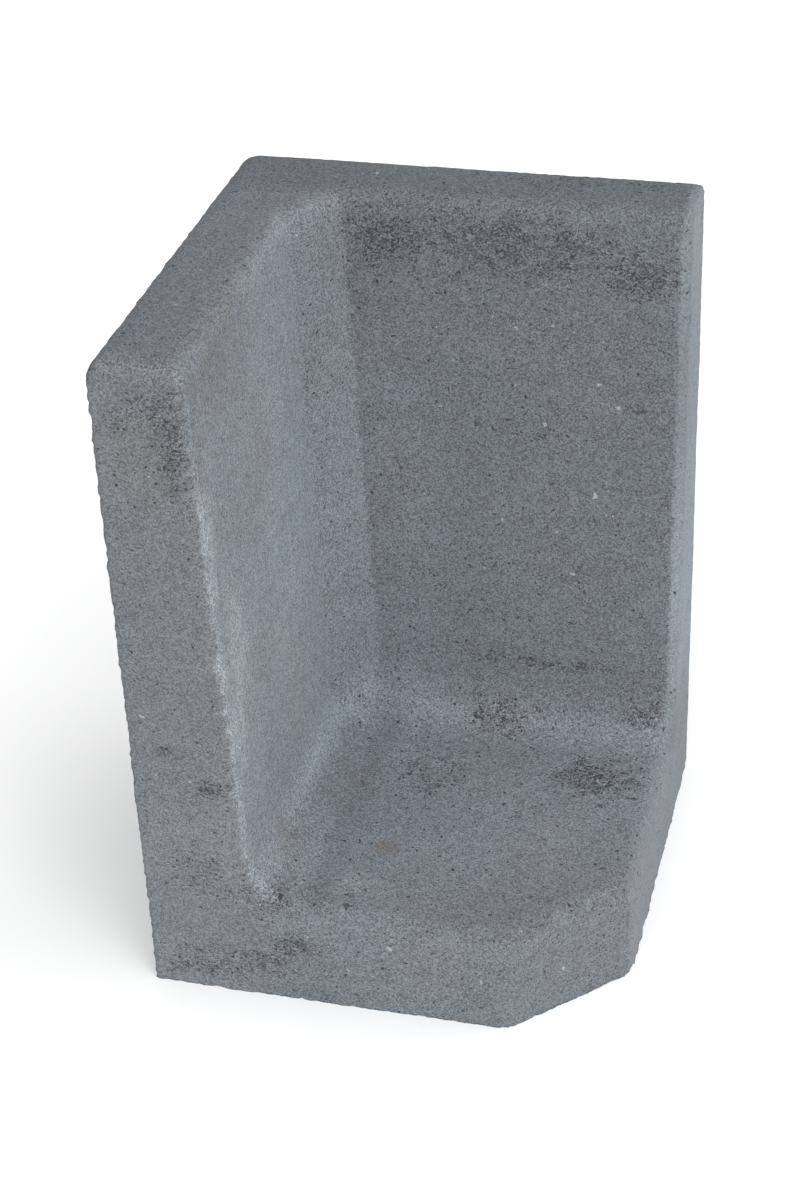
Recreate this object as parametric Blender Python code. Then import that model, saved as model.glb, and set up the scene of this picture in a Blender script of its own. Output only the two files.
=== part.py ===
"""Corner element of a precast concrete retaining wall, with its reinforcement.

Frame: metres, +Z up. The element stands on Z = 0 with the centre of its square
plan at the origin. The back wall is on +Y, the side wall on -X, and the foot
slab reaches from them to the open corner at +X, -Y.
"""
import math

import bmesh
import bpy
from mathutils import Vector

# Concrete body
SIDE = 0.400  # outer length of each leg on plan
HEIGHT = 0.600
FOOT_THICKNESS = 0.100
WALL_AT_TOP = 0.075
WALL_AT_FOOT = 0.095
CORNER_CUT = 0.089  # 45 degree cut on the free corner of the foot
SPLAY_ON_BACK = 0.031  # strip across the inner corner, measured along the back wall
SPLAY_ON_SIDE = 0.050  # and along the side wall
FOOT_FILLET = 0.045
OUTER_CORNER_RADIUS = 0.015
END_CORNER_RADIUS = 0.006
CUT_CORNER_RADIUS = 0.015
FRONT_CORNER_RADIUS = 0.006
SHARP_RADIUS = 0.001
TOP_OUTER_ROUND = 0.014
TOP_INNER_ROUND = 0.015
FOOT_ROUND = 0.006
BACK_END_ROUND = 0.012
SIDE_END_ROUND = 0.005

# Reinforcement
MAIN_RADIUS = 0.004
CORNER_BAR_RADIUS = 0.003
TIE_RADIUS = 0.0007
BEND_RADIUS = 0.024
CORNER_BEND_RADIUS = 0.020
MAIN_DEPTH = 0.042  # centre line of the upright bars behind the outer faces
BAR_SPACE = 0.0004  # clear space where two bars cross
LOW_LEG_HEIGHT = 0.034  # centre line of the lower layer of foot legs
MAIN_TOP = 0.560
BAR_END = 0.165  # half length reached by straight bar ends
SHORT_END = 0.115  # foot legs that stop before the cut corner
TIE_ROOM = 0.00035  # clear space between a tie and the bars it holds
TIE_BEND = 0.0040  # radius of a tie round the bars
TAIL_BEND = 0.0012  # radius where its ends turn outwards
TAIL_LENGTH = 0.0090
TAIL_SPLIT = 0.0009  # half the distance between its two tails
TAIL_OVERLAP = 0.0002  # how far the tails' hollow reaches into the ring's hollow
MAIN_POSITIONS = (-0.095, 0.025, 0.145)  # away from the wall corner
CORNER_BAR_HEIGHTS = (0.150, 0.280, 0.410, 0.540)

# Clearances of the hollows that the pieces lie in
BAR_CLEARANCE = 0.0005
TIE_CLEARANCE = 0.0004
TAIL_HOLLOW_RADIUS = 0.0022
GAP = 0.0003

# Spacers
SPACER_FOOT = 0.024
SPACER_TIP = 0.016
SPACER_LENGTH = 0.018
SPACER_RUN_OUT = 0.002  # how far its hollow runs on past the outer face

HALF = SIDE / 2
MERGE_DISTANCE = 0.000005
ABOVE = 0.060  # how far the cutters run on past the concrete
BACKFILL_REACH = HALF + ABOVE
HIGH_LEG_HEIGHT = LOW_LEG_HEIGHT + 2 * MAIN_RADIUS + BAR_SPACE
MAIN_LINE = HALF - MAIN_DEPTH
CORNER_LINE = MAIN_LINE + MAIN_RADIUS + CORNER_BAR_RADIUS + BAR_SPACE

X_AXIS = Vector((1, 0, 0))
Y_AXIS = Vector((0, 1, 0))
Z_AXIS = Vector((0, 0, 1))


def clear_scene():
    for item in list(bpy.data.objects):
        bpy.data.objects.remove(item, do_unlink=True)


def material(name, colour, roughness, metallic=0.0):
    made = bpy.data.materials.new(name)
    made.use_nodes = True
    shader = made.node_tree.nodes["Principled BSDF"]
    shader.inputs["Base Color"].default_value = (*colour, 1.0)
    shader.inputs["Roughness"].default_value = roughness
    shader.inputs["Metallic"].default_value = metallic
    made.diffuse_color = (*colour, 1.0)
    return made


def add_object(name, data, look=None):
    made = bpy.data.objects.new(name, data)
    bpy.context.scene.collection.objects.link(made)
    if look is not None:
        data.materials.append(look)
    return made


def loft(name, rings):
    """Closed solid through (outline, height) rings with equal counts of points."""
    mesh = bpy.data.meshes.new(name)
    bm = bmesh.new()
    levels = []
    for outline, height in rings:
        levels.append([bm.verts.new((x, y, height)) for x, y in outline])
    bm.faces.new(list(reversed(levels[0])))
    bm.faces.new(levels[-1])
    count = len(levels[0])
    for low, high in zip(levels, levels[1:]):
        for index in range(count):
            after = (index + 1) % count
            bm.faces.new((low[index], low[after], high[after], high[index]))
    bm.to_mesh(mesh)
    bm.free()
    return mesh


def rounded_outline(corners, inset=0.0, steps=4):
    """Plan outline of (x, y, radius) corners as arcs, drawn in by the inset."""
    points = []
    count = len(corners)
    for index, (x, y, radius) in enumerate(corners):
        here = Vector((x, y))
        back = (Vector(corners[index - 1][:2]) - here).normalized()
        ahead = (Vector(corners[(index + 1) % count][:2]) - here).normalized()
        half_angle = back.angle(ahead) / 2
        inward = (back + ahead).normalized() / math.sin(half_angle)
        here = here + inward * inset
        bend = max(radius - inset, SHARP_RADIUS)
        start = here + back * bend / math.tan(half_angle)
        end = here + ahead * bend / math.tan(half_angle)
        centre = here + inward * bend
        for step in range(steps + 1):
            mixed = start.lerp(end, step / steps) - centre
            points.append(tuple(centre + mixed.normalized() * bend))
    return points


def quarter_steps(radius, count):
    """Pairs (run, rise) of a quarter round, from its tangent side to its top."""
    pairs = []
    for step in range(count + 1):
        angle = math.pi / 2 * step / count
        pairs.append((radius * (1 - math.cos(angle)), radius * math.sin(angle)))
    return pairs


def round_edges(mesh, chosen, width, segments):
    """Round the edges for which chosen(middle) is true."""
    bm = bmesh.new()
    bm.from_mesh(mesh)
    edges = []
    for edge in bm.edges:
        first, second = (vertex.co for vertex in edge.verts)
        if chosen((first + second) / 2) and edge.calc_face_angle(0.0) > math.radians(45):
            edges.append(edge)
    bmesh.ops.bevel(
        bm, geom=edges, offset=width, offset_type="OFFSET", segments=segments,
        profile=0.5, affect="EDGES", clamp_overlap=False,
    )
    bmesh.ops.recalc_face_normals(bm, faces=bm.faces)
    bm.to_mesh(mesh)
    bm.free()


def evaluated_mesh(source):
    graph = bpy.context.evaluated_depsgraph_get()
    return bpy.data.meshes.new_from_object(source.evaluated_get(graph), depsgraph=graph)


def as_cutter(tube_object):
    """Turn a tube into a closed mesh object, which a Boolean can take."""
    mesh = evaluated_mesh(tube_object)
    bpy.data.objects.remove(tube_object, do_unlink=True)
    bm = bmesh.new()
    bm.from_mesh(mesh)
    bmesh.ops.remove_doubles(bm, verts=bm.verts, dist=MERGE_DISTANCE)
    bmesh.ops.recalc_face_normals(bm, faces=bm.faces)
    bm.to_mesh(mesh)
    bm.free()
    return add_object("cutter", mesh)


def subtract(name, mesh, cutters):
    """Mesh of the solid with every cutter object taken out of it."""
    base = add_object(name, mesh)
    group = bpy.data.collections.new(name + "_cutters")
    bpy.context.scene.collection.children.link(group)
    for cutter in cutters:
        group.objects.link(cutter)
    cut = base.modifiers.new("cut", "BOOLEAN")
    cut.operation = "DIFFERENCE"
    cut.operand_type = "COLLECTION"
    cut.collection = group
    cut.solver = "EXACT"
    result = evaluated_mesh(base)
    bpy.data.objects.remove(base, do_unlink=True)
    for cutter in cutters:
        bpy.data.objects.remove(cutter, do_unlink=True)
    bpy.data.collections.remove(group)
    return result


def backfill_outline(wall, inset=0.0):
    """Plan outline of the space between walls of the given thickness, drawn in."""
    inner = HALF - wall - inset
    slant = math.hypot(SPLAY_ON_BACK, SPLAY_ON_SIDE)
    depth = SPLAY_ON_BACK * SPLAY_ON_SIDE / slant
    share = 1 + inset * (1 - (SPLAY_ON_BACK + SPLAY_ON_SIDE) / slant) / depth
    outline = [(BACKFILL_REACH, -BACKFILL_REACH), (BACKFILL_REACH, inner + BACK_END_ROUND)]
    for run, rise in reversed(quarter_steps(BACK_END_ROUND, 3)):
        outline.append((HALF - BACK_END_ROUND + rise, inner + run))
    outline.append((-inner + SPLAY_ON_BACK * share, inner))
    outline.append((-inner, inner - SPLAY_ON_SIDE * share))
    for run, rise in quarter_steps(SIDE_END_ROUND, 3):
        outline.append((-inner - run, -HALF + SIDE_END_ROUND - rise))
    outline.append((-inner - SIDE_END_ROUND, -BACKFILL_REACH))
    return outline


def wall_at(height):
    share = (height - FOOT_THICKNESS) / (HEIGHT - FOOT_THICKNESS)
    return WALL_AT_FOOT + (WALL_AT_TOP - WALL_AT_FOOT) * share


def backfill_space():
    """What the walls and the foot leave open, with its rounded lower and upper edges."""
    rings = []
    for run, rise in reversed(quarter_steps(FOOT_FILLET, 6)):
        height = FOOT_THICKNESS + FOOT_FILLET - rise
        rings.append((backfill_outline(wall_at(height), run), height))
    for run, rise in quarter_steps(TOP_INNER_ROUND, 3):
        height = HEIGHT - TOP_INNER_ROUND + rise
        rings.append((backfill_outline(wall_at(height), -run), height))
    rings.append((backfill_outline(WALL_AT_TOP, -TOP_INNER_ROUND), HEIGHT + ABOVE))
    return loft("backfill", rings)


def concrete_shell():
    """The concrete before the reinforcement is taken out of it."""
    corners = [
        (-HALF, -HALF, FRONT_CORNER_RADIUS),
        (HALF - CORNER_CUT, -HALF, FRONT_CORNER_RADIUS),
        (HALF, -HALF + CORNER_CUT, CUT_CORNER_RADIUS),
        (HALF, HALF, END_CORNER_RADIUS),
        (-HALF, HALF, OUTER_CORNER_RADIUS),
    ]
    rings = [(rounded_outline(corners), 0.0)]
    for run, rise in quarter_steps(TOP_OUTER_ROUND, 3):
        rings.append((rounded_outline(corners, run), HEIGHT - TOP_OUTER_ROUND + rise))
    block = loft("block", rings)
    shell = subtract("shell", block, [add_object("backfill", backfill_space())])

    def foot_rim(middle):
        level = abs(middle.z - FOOT_THICKNESS) < 0.0005
        return level and (middle.y < CORNER_CUT - HALF + 0.001 or middle.x > HALF - 0.001)

    round_edges(shell, foot_rim, FOOT_ROUND, 2)
    return shell


def bent_path(points, radius, steps=6):
    """Centre line through the points with every inner corner bent to the radius."""
    path = [points[0]]
    for before, here, after in zip(points, points[1:], points[2:]):
        back = (before - here).normalized()
        ahead = (after - here).normalized()
        half_angle = back.angle(ahead) / 2
        start = here + back * radius / math.tan(half_angle)
        end = here + ahead * radius / math.tan(half_angle)
        centre = here + (back + ahead).normalized() * radius / math.sin(half_angle)
        for step in range(steps + 1):
            mixed = start.lerp(end, step / steps) - centre
            path.append(centre + mixed.normalized() * radius)
    path.append(points[-1])
    return path


def tube(name, path, radius, sides, look=None, closed=False):
    """Round bar or wire along the path, with filled ends."""
    curve = bpy.data.curves.new(name, "CURVE")
    curve.dimensions = "3D"
    curve.bevel_depth = radius
    curve.bevel_resolution = (sides - 4) // 2
    curve.use_fill_caps = True
    spline = curve.splines.new("POLY")
    spline.points.add(len(path) - 1)
    for point, place in zip(spline.points, path):
        point.co = (*place, 1.0)
    spline.use_cyclic_u = closed
    spline.use_smooth = True
    return add_object(name, curve, look)


def extended(path, length):
    """The same path with both ends run on by the length."""
    first = path[0] + (path[0] - path[1]).normalized() * length
    last = path[-1] + (path[-1] - path[-2]).normalized() * length
    return [first, *path[1:-1], last]


def main_bars():
    """Paths of the L bars: an upright leg in a wall and a leg in the foot."""
    paths = {}
    for number, place in enumerate(MAIN_POSITIONS, 1):
        reach = SHORT_END if number == len(MAIN_POSITIONS) else BAR_END
        paths[f"back_wall_bar_{number}"] = bent_path([
            Vector((place, MAIN_LINE, MAIN_TOP)),
            Vector((place, MAIN_LINE, LOW_LEG_HEIGHT)),
            Vector((place, -reach, LOW_LEG_HEIGHT)),
        ], BEND_RADIUS)
        paths[f"side_wall_bar_{number}"] = bent_path([
            Vector((-MAIN_LINE, -place, MAIN_TOP)),
            Vector((-MAIN_LINE, -place, HIGH_LEG_HEIGHT)),
            Vector((reach, -place, HIGH_LEG_HEIGHT)),
        ], BEND_RADIUS)
    return paths


def corner_bars():
    """Paths of the level bars that turn the corner from wall to wall."""
    paths = {}
    for number, height in enumerate(CORNER_BAR_HEIGHTS, 1):
        paths[f"corner_bar_{number}"] = bent_path([
            Vector((BAR_END, CORNER_LINE, height)),
            Vector((-CORNER_LINE, CORNER_LINE, height)),
            Vector((-CORNER_LINE, -BAR_END, height)),
        ], CORNER_BEND_RADIUS)
    return paths


def crossings():
    """Where a tie wire holds two bars: centre, diagonal, way out, half height."""
    first, second, third = MAIN_POSITIONS
    diagonal = (X_AXIS + Y_AXIS).normalized()
    foot_half = 2 * MAIN_RADIUS + BAR_SPACE / 2
    foot_centre = (LOW_LEG_HEIGHT + HIGH_LEG_HEIGHT) / 2
    found = []
    for x, y in ((first, -third), (first, -first), (second, -second), (third, -first)):
        found.append((Vector((x, y, foot_centre)), diagonal, Z_AXIS, foot_half))

    wall_half = MAIN_RADIUS + CORNER_BAR_RADIUS + BAR_SPACE / 2
    outermost = CORNER_LINE + CORNER_BAR_RADIUS
    depth = outermost - wall_half
    pattern = zip(CORNER_BAR_HEIGHTS, (second, third, first, second))
    for height, place in pattern:
        back = Vector((place, depth, height))
        side = Vector((-depth, -place, height))
        found.append((back, (X_AXIS + Z_AXIS).normalized(), -Y_AXIS, wall_half))
        found.append((side, (Y_AXIS + Z_AXIS).normalized(), X_AXIS, wall_half))
    return found


def tie_paths(centre, diagonal, outward, half):
    """Open wire with two tails, the closed ring it follows, and the tails' own line."""
    a = MAIN_RADIUS * math.sqrt(2) + TIE_RADIUS + TIE_ROOM
    b = half + TIE_RADIUS + TIE_ROOM
    tip = b + TAIL_LENGTH

    def place(u, w):
        return centre + diagonal * u + outward * w

    ring_corners = [place(a, b), place(a, -b), place(-a, -b), place(-a, b)]
    mouth = [place(TAIL_SPLIT, b), place(-TAIL_SPLIT, b)]
    ring = bent_path([mouth[0], *ring_corners, mouth[1]], TIE_BEND, 3)
    ends = [place(TAIL_SPLIT, tip), place(-TAIL_SPLIT, tip)]
    start = bent_path([ends[0], mouth[0], place(a - TIE_BEND, b)], TAIL_BEND, 3)[:-1]
    finish = bent_path([place(-a + TIE_BEND, b), mouth[1], ends[1]], TAIL_BEND, 3)[1:]
    wire = [*start, *ring[1:-1], *finish]
    return wire, ring, [place(0.0, b - TAIL_OVERLAP), place(0.0, tip + GAP)]


def spacer_mesh(name, grow=0.0, sunk=GAP, height=0.0, groove=None):
    """Block standing on Z = 0, narrower at its tip, with a groove for a bar."""
    def outline(width):
        x = SPACER_LENGTH / 2 + grow
        y = width / 2 + grow
        return [(-x, -y), (x, -y), (x, y), (-x, y)]

    mesh = loft(name, [(outline(SPACER_FOOT), sunk), (outline(SPACER_TIP), height)])
    if groove is None:
        return mesh
    line = [Vector((-SPACER_LENGTH, 0, height)), Vector((SPACER_LENGTH, 0, height))]
    return subtract(name, mesh, [as_cutter(tube("groove", line, groove, 12))])


def spacers():
    """Name, place on the outer face, turn matrix axes, bar distance and bar radius."""
    first, second, third = MAIN_POSITIONS
    between_low = (first + second) / 2
    between_high = (second + third) / 2
    lower, _, upper, _ = CORNER_BAR_HEIGHTS
    depth = HALF - CORNER_LINE
    found = []
    for x, y in ((first, -between_low), (first, -between_high),
                 (third, -between_low), (second, -between_high)):
        spot = Vector((x, y, 0.0))
        found.append((spot, (Y_AXIS, -X_AXIS, Z_AXIS), LOW_LEG_HEIGHT, MAIN_RADIUS))
    for place, height in ((between_low, lower), (between_high, upper)):
        back = Vector((place, HALF, height))
        side = Vector((-HALF, -place, height))
        found.append((back, (X_AXIS, Z_AXIS, -Y_AXIS), depth, CORNER_BAR_RADIUS))
        found.append((side, (Y_AXIS, Z_AXIS, X_AXIS), depth, CORNER_BAR_RADIUS))
    return found


def moved(mesh, spot, axes):
    """Carry the mesh from its own axes to the given ones, at the spot."""
    along, across, inward = axes
    bm = bmesh.new()
    bm.from_mesh(mesh)
    for vertex in bm.verts:
        x, y, z = vertex.co
        vertex.co = spot + along * x + across * y + inward * z
    bm.to_mesh(mesh)
    bm.free()
    return mesh


def smooth_by_angle(mesh, degrees):
    for polygon in mesh.polygons:
        polygon.use_smooth = True
    bm = bmesh.new()
    bm.from_mesh(mesh)
    for edge in bm.edges:
        edge.smooth = edge.calc_face_angle(0.0) < math.radians(degrees)
    bm.to_mesh(mesh)
    bm.free()


def build():
    clear_scene()
    concrete = material("concrete", (0.200, 0.215, 0.235), 0.92)
    bar_steel = material("bar_steel", (0.165, 0.130, 0.105), 0.60, 0.85)
    tie_steel = material("tie_steel", (0.060, 0.058, 0.058), 0.50, 0.90)
    fibre_concrete = material("fibre_concrete", (0.420, 0.415, 0.395), 0.90)

    hollows = []
    for name, path in main_bars().items():
        tube(name, path, MAIN_RADIUS, 10, bar_steel)
        room = extended(path, GAP)
        hollow = tube("hollow", room, MAIN_RADIUS + BAR_CLEARANCE, 10)
        hollows.append(as_cutter(hollow))
    for name, path in corner_bars().items():
        tube(name, path, CORNER_BAR_RADIUS, 10, bar_steel)
        room = extended(path, GAP)
        hollow = tube("hollow", room, CORNER_BAR_RADIUS + BAR_CLEARANCE, 10)
        hollows.append(as_cutter(hollow))

    for number, crossing in enumerate(crossings(), 1):
        wire, ring, tails = tie_paths(*crossing)
        tube(f"tie_wire_{number:02d}", wire, TIE_RADIUS, 6, tie_steel)
        loop = tube("hollow", ring, TIE_RADIUS + TIE_CLEARANCE, 6, closed=True)
        hollows.append(as_cutter(loop))
        hollows.append(as_cutter(tube("hollow", tails, TAIL_HOLLOW_RADIUS, 8)))

    for number, (spot, axes, depth, radius) in enumerate(spacers(), 1):
        block = spacer_mesh("spacer", height=depth, groove=radius + GAP)
        add_object(f"spacer_{number}", moved(block, spot, axes), fibre_concrete)
        room = spacer_mesh("room", grow=GAP, sunk=-SPACER_RUN_OUT, height=depth + GAP)
        hollows.append(add_object("hollow", moved(room, spot, axes)))

    body = subtract("concrete_body", concrete_shell(), hollows)
    smooth_by_angle(body, 25)
    body.materials.clear()
    add_object("concrete_body", body, concrete)


build()
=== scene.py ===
"""Corner element of a precast concrete retaining wall: shape, finishes and studio."""
import math
from types import SimpleNamespace

import bmesh
import bpy
import numpy as np
from mathutils import Matrix, Vector


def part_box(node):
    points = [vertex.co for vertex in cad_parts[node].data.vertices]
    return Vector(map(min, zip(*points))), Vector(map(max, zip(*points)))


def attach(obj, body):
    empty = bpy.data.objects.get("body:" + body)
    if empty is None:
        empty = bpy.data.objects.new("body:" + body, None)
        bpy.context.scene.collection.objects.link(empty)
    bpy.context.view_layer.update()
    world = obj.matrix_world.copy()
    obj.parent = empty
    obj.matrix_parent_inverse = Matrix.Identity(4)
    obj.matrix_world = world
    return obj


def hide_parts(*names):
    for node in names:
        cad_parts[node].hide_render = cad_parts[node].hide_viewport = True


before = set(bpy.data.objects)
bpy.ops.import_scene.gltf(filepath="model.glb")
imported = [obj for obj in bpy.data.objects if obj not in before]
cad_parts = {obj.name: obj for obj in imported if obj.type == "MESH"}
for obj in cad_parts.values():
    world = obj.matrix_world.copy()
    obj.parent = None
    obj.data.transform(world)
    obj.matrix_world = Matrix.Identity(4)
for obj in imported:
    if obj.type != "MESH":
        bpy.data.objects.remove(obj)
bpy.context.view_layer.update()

bl_info = {
    "name": "Retaining wall corner",
    "version": (1, 0, 0),
    "blender": (4, 5, 0),
    "location": "View3D > Sidebar > Wall corner",
    "description": "Builds a dry-cast concrete corner element with its steel cage",
    "category": "Object",
}

LOW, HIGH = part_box("concrete_body")
SIDE = HIGH.x - LOW.x
HEIGHT = HIGH.z - LOW.z
HALF = SIDE / 2

# Radii of the rounded edges, in metres, and the angle below which an edge stays as it
# is. The top edges have their radius in the settings.
TOP_END_ROUND = 0.009
BACK_LEFT_ROUND = 0.015
BACK_RIGHT_ROUND = 0.003
FRONT_LEFT_ROUND = 0.001
CUT_RIGHT_ROUND = 0.012
CUT_FRONT_ROUND = 0.006
BACK_END_ROUND = 0.009
SIDE_END_ROUND = 0.006
RIM_ROUND = 0.012
SHALLOWEST_ROUNDED = math.radians(12)
ROUND_SEGMENTS = 4
FILLET_SEGMENTS = 10

# How far the open space runs on past the body, and how near counts as on a plane.
OVERSHOOT = 0.06
SLACK = 0.001

# Surface work: how far crumbling reaches in from an edge, how far the concrete round a
# spacer's foot lies below it, the most triangles the body may have, and the steps of a
# vertex weight.
CRUMBLE_REACH = 0.005
SPACER_MARGIN = 0.0015
SPACER_PROUD = 0.0016
MOST_TRIANGLES = 190000
WEIGHT_STEPS = 16

# Studio: direction a light comes from and its angular size in degrees, then the camera.
FRONT_LIGHT = ((0.6, -1.9, 1.1), 80.0)
SIDE_LIGHT = ((2.4, 0.35, 0.9), 110.0)
FLOOR_SIZE = 14.0
CAMERA_PLACE = (0.4493, -1.6872, 1.4225)
CAMERA_HEADING, CAMERA_DOWN, CAMERA_ROLL = 15.62, 33.02, -2.56
CAMERA_LENS = 73.65
CAMERA_FILM = 36.0
CAMERA_REACH = 50.0

# Areas where the fresh concrete tore as the mould was drawn off it, in metres and
# from 0 to 1: centre, half size, strength.
TORN_AREAS = (
    ((0.055, 0.124, 0.560), (0.190, 0.030, 0.050), 0.60),
    ((0.160, 0.124, 0.540), (0.045, 0.030, 0.022), 0.90),
    ((-0.055, 0.124, 0.560), (0.045, 0.030, 0.035), 0.78),
    ((0.060, 0.124, 0.572), (0.100, 0.030, 0.010), 0.70),
    ((0.055, 0.121, 0.480), (0.190, 0.030, 0.045), 0.36),
    ((0.070, 0.117, 0.392), (0.140, 0.030, 0.012), 0.45),
    ((-0.040, 0.115, 0.330), (0.040, 0.030, 0.020), 0.40),
    ((0.085, 0.108, 0.160), (0.110, 0.030, 0.011), 0.60),
    ((0.045, 0.085, 0.108), (0.045, 0.030, 0.030), 0.75),
    ((0.145, 0.025, 0.100), (0.050, 0.040, 0.030), 0.90),
    ((0.170, 0.100, 0.118), (0.030, 0.025, 0.025), 0.65),
    ((0.000, 0.000, 0.100), (0.060, 0.060, 0.030), 0.55),
    ((0.090, -0.030, 0.100), (0.080, 0.050, 0.030), 0.38),
    ((-0.068, -0.110, 0.100), (0.006, 0.070, 0.020), 0.45),
    ((-0.138, -0.200, 0.535), (0.020, 0.030, 0.060), 0.85),
    ((-0.165, -0.200, 0.560), (0.040, 0.030, 0.035), 0.50),
    ((-0.172, -0.200, 0.243), (0.024, 0.030, 0.010), 0.65),
    ((-0.128, -0.200, 0.218), (0.024, 0.030, 0.012), 0.92),
    ((-0.150, -0.200, 0.130), (0.060, 0.030, 0.045), 0.52),
    ((-0.098, -0.200, 0.105), (0.028, 0.040, 0.025), 0.72),
    ((-0.120, -0.200, 0.035), (0.090, 0.030, 0.028), 0.62),
    ((-0.160, -0.200, 0.020), (0.045, 0.030, 0.016), 0.85),
    ((-0.075, -0.200, 0.055), (0.035, 0.030, 0.014), 0.80),
    ((0.100, 0.170, 0.600), (0.130, 0.030, 0.030), 0.50),
    # The last area, along the outer top edge of the side wall, mainly paints a dark line of
    # shade there.
    ((-0.200, 0.000, 0.592), (0.006, 0.250, 0.008), 0.90),
)
# Small marks, each as centre and half size in metres.
RUST_SPOTS = (
    ((-0.014, -0.106, 0.100), (0.008, 0.008, 0.008)),
    ((0.159, 0.108, 0.104), (0.004, 0.006, 0.006)),
)
# Slots are narrow holes; their colour is painted near black as their shade.
SLOTS = (
    ((0.162, 0.118, 0.420), (0.008, 0.006, 0.0022)),
    ((0.183, -0.158, 0.100), (0.0050, 0.0022, 0.004)),
    ((0.146, -0.176, 0.100), (0.0050, 0.0022, 0.004)),
    ((-0.028, -0.186, 0.100), (0.0050, 0.0030, 0.004)),
)
WHITE_STONES = (
    ((0.143, 0.118, 0.422), (0.0020, 0.004, 0.0020)),
    ((0.124, 0.114, 0.335), (0.0020, 0.004, 0.0028)),
    ((0.105, 0.111, 0.255), (0.0022, 0.004, 0.0018)),
    ((0.080, 0.117, 0.400), (0.0022, 0.004, 0.0022)),
    ((0.116, -0.196, 0.104), (0.0028, 0.004, 0.0028)),
    ((0.166, -0.151, 0.100), (0.0022, 0.003, 0.0022)),
    ((0.150, -0.160, 0.040), (0.0030, 0.004, 0.0026)),
    ((0.010, -0.200, 0.070), (0.0022, 0.003, 0.0022)),
)
BROWN_SMUDGES = (
    ((-0.127, -0.077, 0.594), (0.008, 0.026, 0.018)),
    ((-0.126, -0.126, 0.570), (0.008, 0.026, 0.030)),
    ((-0.100, -0.130, 0.112), (0.014, 0.024, 0.020)),
    ((-0.160, -0.200, 0.520), (0.040, 0.020, 0.070)),
)
LIME_STREAKS = (
    ((-0.119, -0.186, 0.455), (0.020, 0.020, 0.050)),
    ((-0.116, -0.190, 0.410), (0.020, 0.016, 0.030)),
    ((-0.114, -0.194, 0.325), (0.020, 0.016, 0.024)),
    ((-0.112, -0.180, 0.265), (0.020, 0.022, 0.060)),
    ((-0.112, -0.158, 0.335), (0.020, 0.030, 0.085)),
    ((-0.030, -0.158, 0.100), (0.034, 0.022, 0.012)),
)
# Two places that the studio light leaves too dark, so their skin is made paler.
PALE_CORNER = ((-0.055, 0.045, 0.120), (0.050, 0.055, 0.045))
PALE_HOLLOW = ((-0.075, -0.120, 0.105), (0.028, 0.060, 0.025))


# ---------------------------------------------------------------- settings


class WallShape(bpy.types.PropertyGroup):
    foot: bpy.props.FloatProperty(
        name="Foot", description="Thickness of the foot slab",
        default=0.100, subtype="DISTANCE")
    wall_top: bpy.props.FloatProperty(
        name="Wall at top", description="Wall thickness at the top",
        default=0.075, subtype="DISTANCE")
    wall_foot: bpy.props.FloatProperty(
        name="Wall at foot", description="Wall thickness where it meets the foot",
        default=0.095, subtype="DISTANCE")
    corner_cut: bpy.props.FloatProperty(
        name="Corner cut", description="Leg of the cut on the free corner of the foot",
        default=0.089, subtype="DISTANCE")
    splay_back: bpy.props.FloatProperty(
        name="Splay on back", description="Inner corner strip, along the back wall",
        default=0.031, subtype="DISTANCE")
    splay_side: bpy.props.FloatProperty(
        name="Splay on side", description="Inner corner strip, along the side wall",
        default=0.050, subtype="DISTANCE")
    fillet: bpy.props.FloatProperty(
        name="Fillet", description="Radius between the walls and the foot",
        default=0.045, subtype="DISTANCE")
    top_round: bpy.props.FloatProperty(
        name="Top rounding", description="Radius of the edges at the top of the walls",
        default=0.017, subtype="DISTANCE")
    fineness: bpy.props.FloatProperty(
        name="Fineness", description="Cell size of the worked surface",
        default=0.0020, subtype="DISTANCE")


class ConcreteLook(bpy.types.PropertyGroup):
    paste: bpy.props.FloatVectorProperty(
        name="Paste", description="Colour of the cement skin",
        size=3, subtype="COLOR", default=(0.1280, 0.1460, 0.1640))
    warm: bpy.props.FloatVectorProperty(
        name="Warm paste", description="Colour of the drier, browner areas",
        size=3, subtype="COLOR", default=(0.1410, 0.1500, 0.1610))
    bloom: bpy.props.FloatVectorProperty(
        name="Lime bloom", description="Colour of the pale lime streaks",
        size=3, subtype="COLOR", default=(0.235, 0.258, 0.280))
    # Painted shade: the near-black colour given to the hollows and to the line along the
    # outer top edge.
    pit_shade: bpy.props.FloatVectorProperty(
        name="Pits", description="Colour inside open pits",
        size=3, subtype="COLOR", default=(0.020, 0.023, 0.028))
    stone: bpy.props.FloatVectorProperty(
        name="White stones", description="Colour of the white grains of the aggregate",
        size=3, subtype="COLOR", default=(0.300, 0.320, 0.340))
    smudge: bpy.props.FloatVectorProperty(
        name="Smudges", description="Colour of the brown smudges",
        size=3, subtype="COLOR", default=(0.112, 0.112, 0.108))
    rust: bpy.props.FloatVectorProperty(
        name="Rust", description="Colour of rust spots",
        size=3, subtype="COLOR", default=(0.155, 0.112, 0.082))
    grain: bpy.props.FloatProperty(
        name="Grain", description="Contrast of the sand grain",
        default=1.0, subtype="FACTOR", min=0.0, max=2.0)


class SteelLook(bpy.types.PropertyGroup):
    scale: bpy.props.FloatVectorProperty(
        name="Mill scale", description="Colour of the mill scale on the bars",
        size=3, subtype="COLOR", default=(0.110, 0.100, 0.098))
    rust: bpy.props.FloatVectorProperty(
        name="Rust", description="Colour of the light rust on the bars",
        size=3, subtype="COLOR", default=(0.270, 0.120, 0.055))
    wire: bpy.props.FloatVectorProperty(
        name="Tie wire", description="Colour of the annealed tie wire",
        size=3, subtype="COLOR", default=(0.055, 0.053, 0.055))


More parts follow.
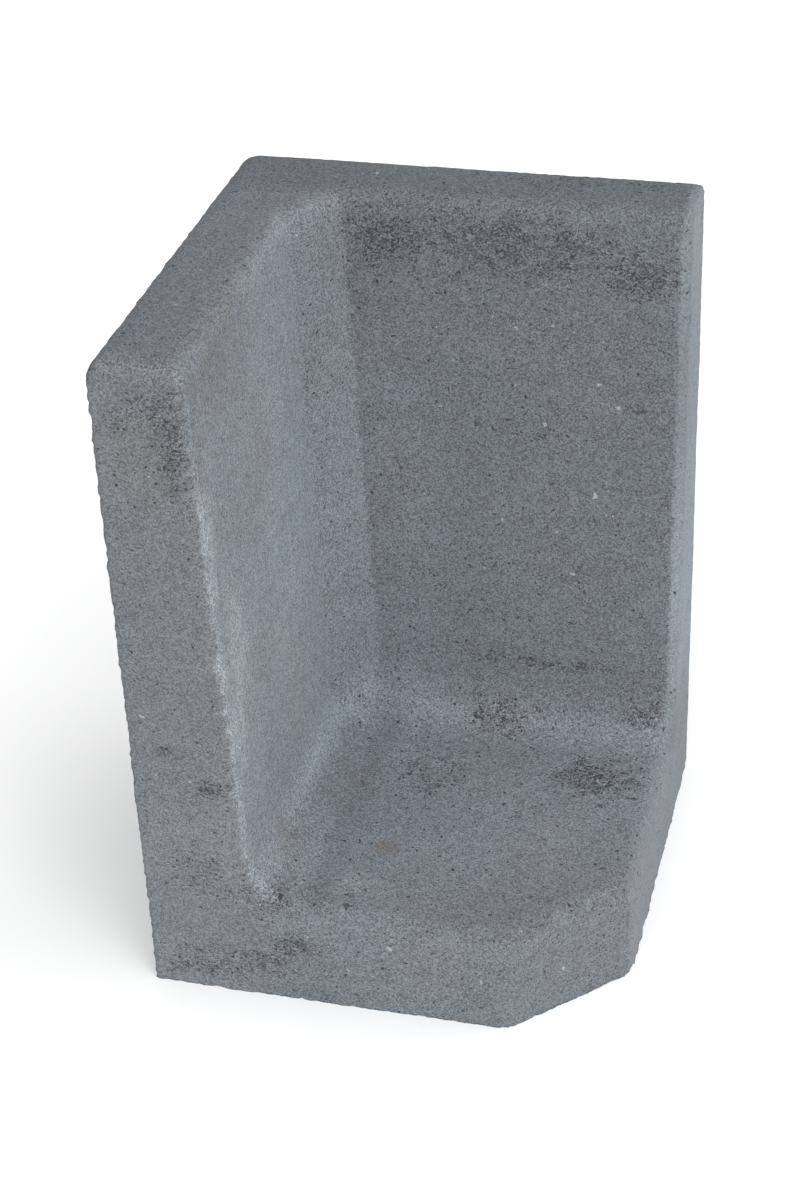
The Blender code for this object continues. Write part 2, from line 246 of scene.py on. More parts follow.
class StudioLook(bpy.types.PropertyGroup):
    around: bpy.props.FloatProperty(
        name="Surround", description="Strength of the light from all around",
        default=0.62)
    front: bpy.props.FloatProperty(
        name="Front light", description="Strength of the soft light at the front",
        default=2.70)
    side: bpy.props.FloatProperty(
        name="Side light", description="Strength of the soft light at the right",
        default=2.00)
    floor: bpy.props.FloatVectorProperty(
        name="Floor", description="Colour of the floor",
        size=3, subtype="COLOR", default=(0.92, 0.92, 0.92))


# ---------------------------------------------------------------- modelling


def deselect_all():
    if bpy.context.mode != "OBJECT":
        bpy.ops.object.mode_set(mode="OBJECT")
    bpy.ops.object.select_all(action="DESELECT")


def new_block(name, low, high):
    """Box between two corners, as the active object, with its place in its mesh."""
    deselect_all()
    middle = (low + high) / 2
    bpy.ops.mesh.primitive_cube_add(size=1, location=middle, scale=high - low)
    block = bpy.context.active_object
    block.name = name
    block.data.name = name
    bpy.ops.object.transform_apply(location=True, rotation=True, scale=True)
    return block


def edge_ends(edge):
    first, second = (vertex.co for vertex in edge.verts)
    return (first + second) / 2, (second - first).normalized()


def select_edges(block, wanted):
    """Enter edit mode with the edges selected for which wanted(middle, direction) holds."""
    bpy.context.view_layer.objects.active = block
    block.select_set(True)
    bpy.ops.object.mode_set(mode="EDIT")
    bpy.ops.mesh.select_mode(type="EDGE")
    bpy.ops.mesh.select_all(action="DESELECT")
    bm = bmesh.from_edit_mesh(block.data)
    for edge in bm.edges:
        edge.select = wanted(*edge_ends(edge))
    bm.select_flush_mode()
    bmesh.update_edit_mesh(block.data)


def select_vertices(block, wanted):
    bpy.context.view_layer.objects.active = block
    block.select_set(True)
    bpy.ops.object.mode_set(mode="EDIT")
    bpy.ops.mesh.select_mode(type="VERT")
    bpy.ops.mesh.select_all(action="DESELECT")
    bm = bmesh.from_edit_mesh(block.data)
    for vertex in bm.verts:
        vertex.select = wanted(vertex.co)
    bm.select_flush_mode()
    bmesh.update_edit_mesh(block.data)


def bevel(block, wanted, width, segments):
    select_edges(block, wanted)
    bpy.ops.mesh.bevel(offset=width, offset_type="OFFSET", segments=segments,
                       profile=0.5, affect="EDGES", clamp_overlap=False)
    bpy.ops.object.mode_set(mode="OBJECT")


def apply_modifier(block, kind, name, **settings):
    """Add a modifier with the given settings and apply it."""
    bpy.context.view_layer.objects.active = block
    added = block.modifiers.new(name, kind)
    for key, value in settings.items():
        setattr(added, key, value)
    bpy.ops.object.modifier_apply(modifier=added.name)


def near(value, target):
    return abs(value - target) < SLACK


def backfill_block(shape):
    """What the walls and the foot leave open: tapered, splayed and with round fillets."""
    over = OVERSHOOT
    inner = HALF - shape.wall_foot
    rise = HEIGHT - shape.foot
    taper = (shape.wall_foot - shape.wall_top) * (rise + over) / rise
    reach = HALF + over
    block = new_block(
        "backfill",
        Vector((-inner, -reach, shape.foot)),
        Vector((reach, inner, HEIGHT + over)),
    )
    select_vertices(block, lambda co: co.z > HEIGHT and co.x < 0)
    bpy.ops.transform.translate(value=(-taper, 0, 0))
    select_vertices(block, lambda co: co.z > HEIGHT and co.y > 0)
    bpy.ops.transform.translate(value=(0, taper, 0))
    bpy.ops.mesh.select_all(action="SELECT")
    on_back = Vector((-inner + shape.splay_back, inner, shape.foot))
    on_side = Vector((-inner, inner - shape.splay_side, shape.foot))
    upward = Vector((-taper, taper, rise + over))
    normal = upward.cross(on_back - on_side).normalized()
    if normal.x > 0:
        normal.negate()
    bpy.ops.mesh.bisect(plane_co=on_back, plane_no=normal, clear_outer=True, use_fill=True)
    bpy.ops.object.mode_set(mode="OBJECT")

    def wall_feet(middle, direction):
        at_foot = near(middle.z, shape.foot)
        return at_foot and middle.y > SLACK - reach and middle.x < reach - SLACK

    bevel(block, wall_feet, shape.fillet, FILLET_SEGMENTS)
    return block


def concrete_block(shape):
    """The cast body with its edges rounded, still with smooth faces.

    The tests that pick edges get an edge's middle, m, and its direction, d.
    """
    body = new_block("concrete", Vector(LOW), Vector(HIGH))
    bevel(body, lambda m, d: near(m.x, HALF) and near(m.y, -HALF), shape.corner_cut, 1)
    space = backfill_block(shape)
    deselect_all()
    body.select_set(True)
    apply_modifier(body, "BOOLEAN", "space", object=space, operation="DIFFERENCE",
                   solver="EXACT")
    bpy.data.objects.remove(space, do_unlink=True)

    def upright(direction):
        return abs(direction.z) > 0.95

    def upright_at(x, y):
        return lambda m, d: upright(d) and near(m.x, x) and near(m.y, y)

    def back_end(m, d):
        high = m.z > shape.foot + shape.fillet
        return high and upright(d) and near(m.x, HALF) and m.y < HALF - 0.01

    def side_end(m, d):
        high = m.z > shape.foot + shape.fillet
        return high and upright(d) and near(m.y, -HALF) and m.x > 0.01 - HALF and m.x < 0

    def rim(m, d):
        low = m.z < shape.foot + shape.fillet + SLACK and m.z > shape.foot - SLACK
        on_cut = m.x - m.y > SIDE - shape.corner_cut - 2 * SLACK
        return low and (near(m.y, -HALF) or near(m.x, HALF) or on_cut)

    weights = (
        (lambda m, d: near(m.z, HEIGHT), shape.top_round),
        (lambda m, d: near(m.z, HEIGHT) and near(m.x, HALF), TOP_END_ROUND),
        (upright_at(-HALF, HALF), BACK_LEFT_ROUND),
        (upright_at(HALF, HALF), BACK_RIGHT_ROUND),
        (upright_at(-HALF, -HALF), FRONT_LEFT_ROUND),
        (upright_at(HALF, shape.corner_cut - HALF), CUT_RIGHT_ROUND),
        (upright_at(HALF - shape.corner_cut, -HALF), CUT_FRONT_ROUND),
        (back_end, BACK_END_ROUND),
        (side_end, SIDE_END_ROUND),
        (rim, RIM_ROUND),
    )
    widest = max(width for wanted, width in weights)
    mesh = body.data
    bm = bmesh.new()
    bm.from_mesh(mesh)
    layer = bm.edges.layers.float.new("bevel_weight_edge")
    for edge in bm.edges:
        if edge.calc_face_angle(0.0) < SHALLOWEST_ROUNDED:
            continue
        middle, direction = edge_ends(edge)
        for wanted, width in weights:
            if wanted(middle, direction):
                edge[layer] = width / widest
    bm.to_mesh(mesh)
    bm.free()
    apply_modifier(body, "BEVEL", "rounding", width=widest, limit_method="WEIGHT",
                   segments=ROUND_SEGMENTS, use_clamp_overlap=False)
    return body


# ---------------------------------------------------------------- surface work


def set_group(block, name, weights):
    """Vertex group with one weight per vertex, in steps."""
    group = block.vertex_groups.new(name=name)
    steps = np.clip(np.round(weights * WEIGHT_STEPS), 0, WEIGHT_STEPS).astype(int)
    for step in range(1, WEIGHT_STEPS + 1):
        chosen = np.nonzero(steps == step)[0]
        if len(chosen):
            group.add(chosen.tolist(), step / WEIGHT_STEPS, "REPLACE")


def vertex_places(block):
    mesh = block.data
    places = np.empty(len(mesh.vertices) * 3)
    mesh.vertices.foreach_get("co", places)
    return places.reshape(-1, 3)


def inside_areas(places, areas):
    """How far each place lies in the areas, from 0 to the strength of the strongest."""
    most = np.zeros(len(places))
    for centre, size, strength in areas:
        offset = (places - np.array(centre)) / np.array(size)
        np.maximum(most, strength * np.exp(-(offset ** 2).sum(axis=1)), out=most)
    return most


def edge_weights(places, shape):
    """How near each place is to the crumbled outer edges, and to the side wall's worn end."""
    x, y, z = places.T

    def beside(distance_squared):
        return np.exp(-distance_squared / (2 * CRUMBLE_REACH ** 2))

    to_sides = np.minimum(HALF - np.abs(x), HALF - np.abs(y))
    to_cut = (SIDE - shape.corner_cut - (x - y)) / math.sqrt(2)
    at_outside = np.exp(-(np.minimum(to_sides, to_cut) / CRUMBLE_REACH) ** 2)
    at_bottom = np.exp(-(z / CRUMBLE_REACH) ** 2)
    at_front_left = beside((x + HALF) ** 2 + (y + HALF) ** 2)

    rise = np.clip((z - shape.foot) / (HEIGHT - shape.foot), 0, 1)
    inner = shape.wall_foot + (shape.wall_top - shape.wall_foot) * rise - HALF
    at_end = beside((x - inner) ** 2 + (y + HALF) ** 2) * (z > shape.foot + shape.fillet)
    return np.maximum(at_outside * at_bottom, at_front_left), at_end


def round_spacers(places):
    """One for each place beside a spacer's foot and nothing elsewhere."""
    weights = np.zeros(len(places))
    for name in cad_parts:
        if name.startswith("spacer"):
            low, high = (np.array(corner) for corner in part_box(name))
            inside = (places > low - SPACER_MARGIN) & (places < high + SPACER_MARGIN)
            weights[inside.all(axis=1)] = 1.0
    return weights


def work_surface(body, shape):
    """Turn the smooth cast body into a dense one with torn areas and crumbled edges."""
    cell = shape.fineness * 1.0
    apply_modifier(body, "REMESH", "cells", mode="VOXEL", voxel_size=cell,
                   adaptivity=0.0, use_smooth_shade=True)
    places = vertex_places(body)
    edges, worn = edge_weights(places, shape)
    set_group(body, "torn", inside_areas(places, TORN_AREAS))
    set_group(body, "edges", edges)
    set_group(body, "worn", worn)
    set_group(body, "spacers", round_spacers(places))

    # Name, vertex group, strength, middle level, then the scale and depth of the clouds.
    layers = (
        ("unevenness", "", 0.0014, 0.50, 0.070, 2),
        ("grit", "", 0.0007, 0.50, 0.006, 2),
        ("tears", "torn", 0.0042, 0.56, 0.0065, 3),
        ("wear", "worn", 0.0070, 0.58, 0.011, 3),
        ("crumbs", "edges", 0.0038, 0.50, 0.0075, 4),
    )
    for name, group, strength, middle, scale, depth in layers:
        clouds = bpy.data.textures.new(name, "CLOUDS")
        clouds.noise_scale = scale
        clouds.noise_depth = depth
        apply_modifier(body, "DISPLACE", name, texture=clouds, texture_coords="LOCAL",
                       vertex_group=group, strength=strength, mid_level=middle)
    apply_modifier(body, "DISPLACE", "round spacers", vertex_group="spacers",
                   strength=-SPACER_PROUD, mid_level=0.0)
    triangles = sum(len(polygon.vertices) - 2 for polygon in body.data.polygons)
    if triangles > MOST_TRIANGLES:
        apply_modifier(body, "DECIMATE", "thin", ratio=MOST_TRIANGLES / triangles)
    select_vertices(body, lambda co: co.z < 0)
    bpy.ops.transform.resize(value=(1, 1, 0), center_override=(0, 0, 0))
    bpy.ops.object.mode_set(mode="OBJECT")
    body.data.polygons.foreach_set("use_smooth", [True] * len(body.data.polygons))


# ---------------------------------------------------------------- shaders


class Socket:
    """An output socket whose operators add the Math nodes they stand for."""

    def __init__(self, shader, output):
        self.shader = shader
        self.output = output

    def _math(self, operation, *values):
        return self.shader.node("ShaderNodeMath", {"operation": operation},
                                dict(enumerate(values)))

    def __add__(self, other):
        return self._math("ADD", self, other)

    __radd__ = __add__

    def __mul__(self, other):
        return self._math("MULTIPLY", self, other)

    __rmul__ = __mul__

    def __sub__(self, other):
        return self._math("SUBTRACT", self, other)

    def __rsub__(self, other):
        return self._math("SUBTRACT", other, self)

    def __abs__(self):
        return self._math("ABSOLUTE", self)

    def maximum(self, other):
        return self._math("MAXIMUM", self, other)

    def exponential(self):
        return self._math("EXPONENT", self)

    def step(self, low, high):
        """Zero below the low value, one above the high one and smooth between them."""
        return self.shader.node(
            "ShaderNodeMapRange", {"interpolation_type": "SMOOTHSTEP", "clamp": True},
            {"Value": self, "From Min": low, "From Max": high})


class Shader:
    """A material being built, with one method that adds any node."""

    def __init__(self, name):
        self.material = bpy.data.materials.new(name)
        self.material.use_nodes = True
        self.tree = self.material.node_tree
        self.principled = self.tree.nodes["Principled BSDF"]
        coordinates = self.tree.nodes.new("ShaderNodeTexCoord")
        self.place = Socket(self, coordinates.outputs["Object"])

    def node(self, kind, settings, inputs, output=0):
        made = self.tree.nodes.new(kind)
        for key, value in settings.items():
            setattr(made, key, value)
        for key, value in inputs.items():
            self.connect(made.inputs[key], value)
        return Socket(self, made.outputs[output])

    def connect(self, target, value):
        if isinstance(value, Socket):
            self.tree.links.new(value.output, target)
        elif hasattr(value, "__len__") and len(value) == 3 and len(target.default_value) == 4:
            target.default_value = (*value, 1.0)
        else:
            target.default_value = value

    def mix(self, factor, first, second):
        made = self.tree.nodes.new("ShaderNodeMix")
        made.data_type = "RGBA"
        self.connect(made.inputs[0], factor)
        self.connect(made.inputs[6], first)
        self.connect(made.inputs[7], second)
        return Socket(self, made.outputs[2])

    def vector(self, operation, first, second, output=0):
        return self.node("ShaderNodeVectorMath", {"operation": operation},
                         {0: first, 1: second}, output)

    def tint(self, colour, amount):
        """The colour made lighter or darker by a number socket."""
        grey = self.node("ShaderNodeCombineXYZ", {}, {0: amount, 1: amount, 2: amount})
        return self.vector("MULTIPLY", colour, grey)

    def stretched(self, scale, place=None):
        return self.vector("MULTIPLY", place or self.place, scale)

    def noise(self, scale, detail=2.0, roughness=0.5, vector=None, output="Fac"):
        return self.node("ShaderNodeTexNoise", {}, {
            "Vector": vector or self.place, "Scale": scale, "Detail": detail,
            "Roughness": roughness}, output)

    def cells(self, scale, output="Distance", vector=None):
        return self.node("ShaderNodeTexVoronoi", {}, {
            "Vector": vector or self.place, "Scale": scale}, output)

    def axes(self, vector):
        split = self.tree.nodes.new("ShaderNodeSeparateXYZ")
        self.connect(split.inputs[0], vector)
        return [Socket(self, output) for output in split.outputs]

    def warped(self, scale, amount, detail=3.0):
        """The place pushed about by noise, for outlines that wander."""
        push = self.vector("SUBTRACT", self.noise(scale, detail, 0.6, output="Color"),
                           (0.5, 0.5, 0.5))
        return self.vector("ADD", self.place, self.vector("MULTIPLY", push, (amount,) * 3))

    def area(self, place, centre, size):
        """One at the centre, falling smoothly to nothing about two half sizes away."""
        offset = self.vector("DIVIDE", self.vector("SUBTRACT", place, centre), size)
        square = self.vector("DOT_PRODUCT", offset, offset, "Value")
        return (square * -1.0).exponential()

    def marks(self, place, marks):
        """The areas of several marks together, each times its strength if it has one."""
        total = None
        for centre, size, *strength in marks:
            spot = self.area(place, centre, size)
            if strength:
                spot = spot * strength[0]
            total = spot if total is None else total.maximum(spot)
        return total

    def finish(self, colour, roughness, height=None, distance=0.001, strength=1.0):
        self.connect(self.principled.inputs["Base Color"], colour)
        self.connect(self.principled.inputs["Roughness"], roughness)
        if height is not None:
            bump = self.node("ShaderNodeBump", {}, {
                "Strength": strength, "Distance": distance, "Height": height}, "Normal")
            self.connect(self.principled.inputs["Normal"], bump)
        return self.material


def past(value, edge, start, full):
    """Zero until start metres past the edge, and one from full metres past it."""
    return value.step(edge + start, edge + full)


def concrete_faces(s, shape):
    """How much a place belongs to each face of the cast body, each from 0 to 1."""
    x, y, z = s.axes(s.warped(60.0, 0.008))
    inner = HALF - shape.wall_foot
    cut_edge = SIDE - shape.corner_cut
    slope = (shape.wall_foot - shape.wall_top) / (HEIGHT - shape.foot)
    lean = (z - shape.foot) * slope
    from_side = x + lean
    from_back = y - lean

    top = past(z, HEIGHT, -0.008, -0.0015)
    inside = (1 - past(from_back, inner, 0.007, 0.025)) * past(z, shape.foot, -0.012, 0.0)
    past_fold = past(from_side, shape.splay_back - inner, -0.003, 0.002)
    past_splay = past(from_back, inner - shape.splay_side, -0.003, 0.003)
    past_wall = past(from_side, -inner, -0.025, -0.015)
    past_strip = past(x, -inner, -0.005, 0.015)

    back = past_fold * past(from_back, inner, -0.020, -0.010) * inside * (1 - top)
    side = (1 - past_splay) * past(y, -HALF, 0.0, 0.004) * past_wall
    side = side * (1 - past(from_side, -inner, 0.005, 0.020)) * inside * (1 - top)
    splay = (1 - past_fold) * past_splay * past_wall * inside
    strip = (1 - past(y, -HALF, 0.001, 0.005)) * (1 - past_strip)
    foot = (1 - past(z, shape.foot, 0.008, 0.025)) * inside
    foot = foot * past(x, -inner, 0.045, 0.075) * (1 - past(x, HALF, -0.012, -0.004))
    cut = past(x - y, cut_edge, -0.005, -0.002)
    right = past(x, HALF, -0.010, -0.006) * (1 - cut)
    outward = (-HALF - y).maximum((x - y - cut_edge) * math.sqrt(0.5))
    rim = past(z + outward, shape.foot, -0.013, -0.005)
    rim = rim * (1 - past(z, shape.foot, 0.001, 0.004)) * past_strip
    # The outer top edge of the side wall, where a dark line of painted shade goes.
    shaded_arris = (1 - past(x, -HALF, 0.0015, 0.008)) * past(z, HEIGHT, -0.022, -0.014)
    # Besides the faces: the arris along the outer top edge, which gets painted shade, and the
    # corner and hollow, which get painted light.
    return SimpleNamespace(
        x=x, y=y, z=z, from_back=from_back, top=top, back=back, side=side, splay=splay,
        strip=strip, foot=foot, cut=cut, right=right, rim=rim, shaded_arris=shaded_arris,
        corner=s.area(s.place, *PALE_CORNER), hollow=s.area(s.place, *PALE_HOLLOW))


def face_tone_and_painted_light(on):
    """How light the skin of each face is: partly the concrete's own tone, partly painted
    light and shade that make up for the studio light.
    """
    x, y, z = on.x, on.y, on.z
    # Painted light on the side wall: more towards the back wall, whose shadow falls there,
    # and more low down; darker near the top.
    tone = 0.95 + on.side * (0.20 + on.from_back.step(-0.13, 0.03) * 0.22)
    tone = tone + on.side * ((1 - z.step(0.33, 0.45)) * 0.15 - z.step(0.48, 0.57) * 0.16)
    # Painted light on the splay and on the foot near the walls, where the inner corner lies
    # in shade; the back wall lighter by the splay and darker elsewhere, more so higher up.
    tone = tone + on.splay * (0.17 - z.step(0.30, 0.55) * 0.18)
    near_cut = (x - y).step(0.16, 0.28)
    near_front = 1 - y.step(-0.17, -0.10)
    tone = tone + on.foot * (0.22 - near_cut * 0.14 - near_front * 0.06)
    by_splay = (1 - x.step(-0.06, 0.02)) * (1 - z.step(0.42, 0.52))
    tone = tone + on.back * (by_splay * 0.14 - 0.10 - z.step(0.15, 0.50) * 0.10)
    # Painted shade on the top faces, deeper towards the back.
    tone = tone - on.top * (0.10 + y.step(0.11, 0.14) * 0.12)
    # The front end strip darker higher up and in a low band from about 0.03 to 0.16 m up.
    low_band = z.step(0.03, 0.06) * (1 - z.step(0.10, 0.16))
    tone = tone - on.strip * (z.step(0.12, 0.30) * 0.12 + low_band * 0.08)
    # Painted light on the right end face, strongest from about 0.16 to 0.30 m up.
    tone = tone + on.right * (0.12 + z.step(0.10, 0.16) * 0.27 - z.step(0.30, 0.42) * 0.15)
    # Painted shade on the cut face and on the rounded rim of the foot.
    tone = tone - on.cut * 0.06 - on.rim * 0.18
    # Darker low down on the foot's front, except on the right end face.
    tone = tone - (1 - z.step(0.06, 0.10)) * x.step(-0.12, -0.06) * (1 - on.right) * 0.05
    # Painted light in the two places the studio light leaves too dark (PALE_CORNER,
    # PALE_HOLLOW).
    return tone + on.corner * 0.26 + on.hollow * 0.24


def torn_skin(s, on, loose, flakes):
    """Where the skin tore, from 0 to 1: the listed areas and scattered small ones."""
    spared = 1 - on.side * 0.8
    torn = (s.marks(loose, TORN_AREAS) + (flakes - 0.5) * 1.3).step(0.25, 0.85)
    scattered = (s.noise(26.0, 3.0, 0.6) + (flakes - 0.5) * 1.2).step(0.60, 0.80)
    return (torn * spared).maximum(scattered * 0.35 * spared)


def hollows_painted_dark(s, on, torn, flakes, tight, smooth):
    """Painted shade, from 0 to 1: how dark the tears, pits, pores, slots and other hollows
    are made, and a dark line painted along the outer top edge where its rounding lies in
    shade.
    """
    tears = s.noise(1.0, 2.0, 0.6, s.stretched((80.0, 80.0, 190.0), smooth)) - 0.5
    tears = (1 - abs(tears).step(0.010, 0.025)) * torn.step(0.15, 0.60)
    shallow = s.noise(1.0, 2.0, 0.6, s.stretched((55.0, 55.0, 120.0), smooth))
    shallow = (torn * 0.16 + 0.36 - shallow).step(0.00, 0.07) * torn
    pit_place = s.stretched((1.0, 1.0, 1.4), smooth)
    pit_pick = s.axes(s.cells(250.0, "Color", pit_place))[0]
    pits = 1 - s.cells(250.0, "Distance", pit_place).step(0.28, 0.40)
    pits = pits * (pit_pick + torn * 0.36).step(0.95, 0.97) * (1 - on.side * 0.6)
    broken = s.noise(310.0, 1.0, 0.6, pit_place)
    broken = (torn * 0.17 + 0.275 - broken).step(0.00, 0.030)
    pore_pick = s.axes(s.cells(520.0, "Color"))[1]
    pores = (1 - s.cells(520.0).step(0.15, 0.38)) * pore_pick.step(0.70, 0.74)
    # A dark line of painted shade along the outer top edge of the side wall, broken up by
    # noise.
    edge_shade = on.shaded_arris * flakes.step(0.35, 0.55)
    slots = s.marks(tight, SLOTS).step(0.30, 0.60)
    # Together these are painted shade: the hollows and the outer top edge are made darker
    # than the concrete is.
    dark = tears * 0.60
    for marks in (pits * 0.92, broken * 0.88, pores * 0.40, shallow * 0.20, edge_shade * 0.80,
                  slots * 0.65):
        dark = dark.maximum(marks)
    return dark


def concrete_material(look, shape):
    """Dry-cast concrete: sand grain, torn rough areas, dragged smooth faces, lime bloom, with
    painted light and shade in the face tones, the hollows and along the outer top edge.
    """
    s = Shader("dry_cast_concrete")
    loose = s.warped(30.0, 0.030)
    tight = s.warped(110.0, 0.012)
    smooth = s.warped(150.0, 0.005, 0.0)
    on = concrete_faces(s, shape)
    flakes = s.noise(75.0, 4.0, 0.65, s.stretched((1.0, 1.0, 1.9), tight))
    torn = torn_skin(s, on, loose, flakes)
    dark = hollows_painted_dark(s, on, torn, flakes, tight, smooth)

    sand = s.axes(s.cells(900.0, "Color"))[0] - 0.5
    dust = s.noise(1300.0, 0.0) - 0.5
    grit = s.noise(420.0, 1.0, 0.6) - 0.5
    lumps = s.noise(190.0, 2.0, 0.6) - 0.5
    blotch = s.noise(55.0, 3.0, 0.6) - 0.5
    cloud = s.noise(11.0, 3.0, 0.55) - 0.5
    streak = s.noise(1.0, 4.0, 0.6, s.stretched((220.0, 220.0, 7.0))) - 0.5
    level = s.noise(1.0, 3.0, 0.6, s.stretched((9.0, 9.0, 60.0))) - 0.5
    coarse = 1 + torn * 0.30
    grain = (sand * 0.95 + dust * 0.95 + grit * 0.22 + lumps * 0.16) * coarse
    grain = grain * (1 - on.strip * 0.12 - on.right * 0.40)
    lightness = 1 + grain * look.grain + blotch * 0.24 + cloud * 0.18
    lightness = lightness + streak * on.side * 0.40 + level * (1 - on.side) * 0.16
    lightness = lightness - torn * 0.05

    warm = (s.noise(7.0, 2.0).step(0.42, 0.68) * 0.25).maximum(on.strip * 0.7)
    base = s.mix(warm, tuple(look.paste), tuple(look.warm))
    ragged = s.noise(120.0, 4.0, 0.65) - 0.5
    lime = (s.marks(tight, LIME_STREAKS) + ragged * 1.5).step(0.35, 1.10)
    lime = lime * on.side.maximum(on.foot * 0.5) * 0.80
    speck_pick = s.axes(s.cells(150.0, "Color", tight))[1]
    specks = 1 - s.cells(150.0, "Distance", tight).step(0.10, 0.24)
    specks = specks * speck_pick.step(0.985, 0.987)
    stones = s.marks(tight, WHITE_STONES).step(0.30, 0.55)
    colour = s.tint(base, lightness * face_tone_and_painted_light(on))
    for factor, over in (
        (lime, s.tint(tuple(look.bloom), lightness)),
        (s.marks(loose, BROWN_SMUDGES) * 0.6, s.tint(tuple(look.smudge), lightness)),
        (s.marks(tight, RUST_SPOTS) * 0.65, tuple(look.rust)),
        (specks.maximum(stones) * 0.8, tuple(look.stone)),
        # Painted shade in the hollows and along the outer top edge.
        (dark, tuple(look.pit_shade)),
    ):
        colour = s.mix(factor, colour, over)

    height = grit * 0.35 + sand * 0.3 + lumps * 0.3 * coarse - dark * 1.8
    return s.finish(colour, 0.92, height, 0.0012, 0.45)


def bar_material(look):
    """Hot-rolled bar: dark mill scale with light rust."""
    s = Shader("rusty_bar")
    rusty = s.noise(180.0, 4.0, 0.6).step(0.42, 0.62)
    shade = 0.8 + s.noise(700.0, 2.0) * 0.4
    colour = s.tint(s.mix(rusty, tuple(look.scale), tuple(look.rust)), shade)
    s.principled.inputs["Metallic"].default_value = 0.7
    return s.finish(colour, rusty * 0.35 + 0.45, s.noise(900.0, 3.0), 0.0002, 0.4)


def wire_material(look):
    """Soft annealed tie wire."""
    s = Shader("annealed_wire")
    shade = 0.7 + s.noise(500.0, 3.0) * 0.6
    colour = s.tint(tuple(look.wire), shade)
    s.principled.inputs["Metallic"].default_value = 0.8
    return s.finish(colour, s.noise(350.0, 2.0) * 0.3 + 0.35, s.noise(1200.0), 0.0001, 0.3)


def spacer_material():
    """Pressed fibre concrete: pale, with short fibres and fine pores."""
    s = Shader("fibre_concrete")
    sand = s.noise(800.0, 2.0, 0.6)
    fibres = s.noise(1.0, 2.0, 0.5, s.stretched((900.0, 900.0, 60.0))).step(0.62, 0.72)
    shade = 0.82 + sand * 0.36 - fibres * 0.12
    colour = s.tint((0.24, 0.25, 0.255), shade)
    return s.finish(colour, 0.9, sand - fibres * 0.5, 0.0004, 0.5)


# ---------------------------------------------------------------- operators


class OBJECT_OT_concrete_corner(bpy.types.Operator):
    """Model the cast concrete body and give it its worked surface"""
    bl_idname = "object.concrete_corner"
    bl_label = "Concrete corner"

    def execute(self, context):
        shape = context.scene.wall_shape
        body = concrete_block(shape)
        work_surface(body, shape)
        body.data.materials.clear()
        body.data.materials.append(concrete_material(context.scene.concrete_look, shape))
        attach(body, "root")
        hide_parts("concrete_body")
        return {"FINISHED"}


class OBJECT_OT_steel_cage(bpy.types.Operator):
    """Finish the bars, tie wires and spacers that are cast in"""
    bl_idname = "object.steel_cage"
    bl_label = "Steel cage"

    def execute(self, context):
        look = context.scene.steel_look
        finishes = {
            "bar": bar_material(look),
            "tie": wire_material(look),
            "spacer": spacer_material(),
        }
        for name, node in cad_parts.items():
            for key, made in finishes.items():
                if key in name:
                    node.data.materials.clear()
                    node.data.materials.append(made)
        return {"FINISHED"}


def soft_light(name, strength, place, spread):
    """Wide soft light shining from a direction on everything alike."""
    lamp = bpy.data.lights.new(name, "SUN")
    lamp.energy = strength
    lamp.angle = math.radians(spread)
    light = bpy.data.objects.new(name, lamp)
    bpy.context.scene.collection.objects.link(light)
    aim = Vector(place).to_track_quat("Z", "Y").to_matrix().to_4x4()
    light.matrix_world = Matrix.Translation(place) @ aim


def white_surround(name, strength):
    """World that lights with the given strength and looks white."""
    world = bpy.data.worlds.new(name)
    world.use_nodes = True
    nodes, links = world.node_tree.nodes, world.node_tree.links
    seen = nodes.new("ShaderNodeLightPath").outputs["Is Camera Ray"]
    level = nodes.new("ShaderNodeMapRange")
    level.inputs["To Min"].default_value = strength
    level.inputs["To Max"].default_value = 1.0
    links.new(seen, level.inputs["Value"])
    lit = nodes["Background"]
    lit.inputs["Color"].default_value = (1.0, 1.0, 1.0, 1.0)
    links.new(level.outputs["Result"], lit.inputs["Strength"])
    return world


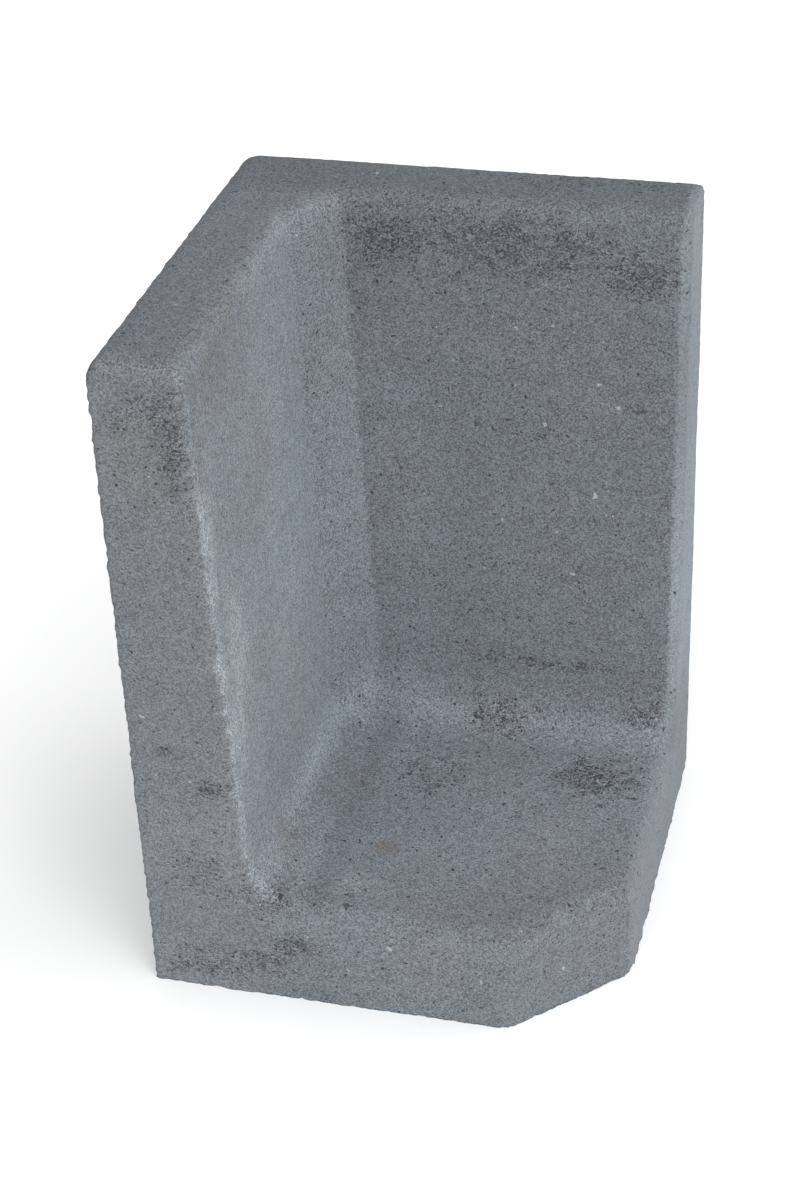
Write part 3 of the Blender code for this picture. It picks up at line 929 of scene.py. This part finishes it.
class OBJECT_OT_studio(bpy.types.Operator):
    """Set up the pale floor, the soft lights and the camera"""
    bl_idname = "object.studio"
    bl_label = "Studio"

    def execute(self, context):
        look = context.scene.studio_look
        deselect_all()
        bpy.ops.mesh.primitive_plane_add(size=FLOOR_SIZE, location=(0, 0, 0))
        floor = context.active_object
        floor.name = "floor"
        s = Shader("studio_floor")
        shade = 0.985 + s.noise(3.0) * 0.03
        floor.data.materials.append(s.finish(s.tint(tuple(look.floor), shade), 0.9))

        context.scene.world = white_surround("soft surround", look.around)
        context.scene.view_settings.view_transform = "Standard"
        soft_light("front light", look.front, *FRONT_LIGHT)
        soft_light("side light", look.side, *SIDE_LIGHT)

        camera = bpy.data.cameras.new("camera")
        camera.sensor_fit = "VERTICAL"
        camera.sensor_height = CAMERA_FILM
        camera.lens = CAMERA_LENS
        camera.clip_end = CAMERA_REACH
        eye = bpy.data.objects.new("camera", camera)
        context.scene.collection.objects.link(eye)
        turn = (Matrix.Rotation(math.radians(CAMERA_HEADING), 4, "Z")
                @ Matrix.Rotation(math.radians(90 - CAMERA_DOWN), 4, "X")
                @ Matrix.Rotation(math.radians(CAMERA_ROLL), 4, "Z"))
        eye.matrix_world = Matrix.Translation(CAMERA_PLACE) @ turn
        context.scene.camera = eye
        return {"FINISHED"}


class VIEW3D_PT_wall_corner(bpy.types.Panel):
    """Lists the pieces of the wall corner and their settings"""
    bl_label = "Wall corner"
    bl_space_type = "VIEW_3D"
    bl_region_type = "UI"
    bl_category = "Wall corner"

    def draw(self, context):
        layout = self.layout
        for title, group in SETTINGS.items():
            box = layout.box()
            settings = getattr(context.scene, title)
            for key in group.__annotations__:
                box.prop(settings, key)
        for operator in OPERATORS:
            layout.operator(operator.bl_idname)


SETTINGS = {
    "wall_shape": WallShape,
    "concrete_look": ConcreteLook,
    "steel_look": SteelLook,
    "studio_look": StudioLook,
}
OPERATORS = (OBJECT_OT_studio, OBJECT_OT_concrete_corner, OBJECT_OT_steel_cage)


def register():
    for group in (*SETTINGS.values(), *OPERATORS, VIEW3D_PT_wall_corner):
        bpy.utils.register_class(group)
    for title, group in SETTINGS.items():
        setattr(bpy.types.Scene, title, bpy.props.PointerProperty(type=group))


def unregister():
    for title in SETTINGS:
        delattr(bpy.types.Scene, title)
    for group in (VIEW3D_PT_wall_corner, *OPERATORS, *SETTINGS.values()):
        bpy.utils.unregister_class(group)


def main():
    register()
    bpy.ops.object.studio()
    bpy.ops.object.concrete_corner()
    bpy.ops.object.steel_cage()
    bpy.context.view_layer.update()


if __name__ == "__main__":
    main()
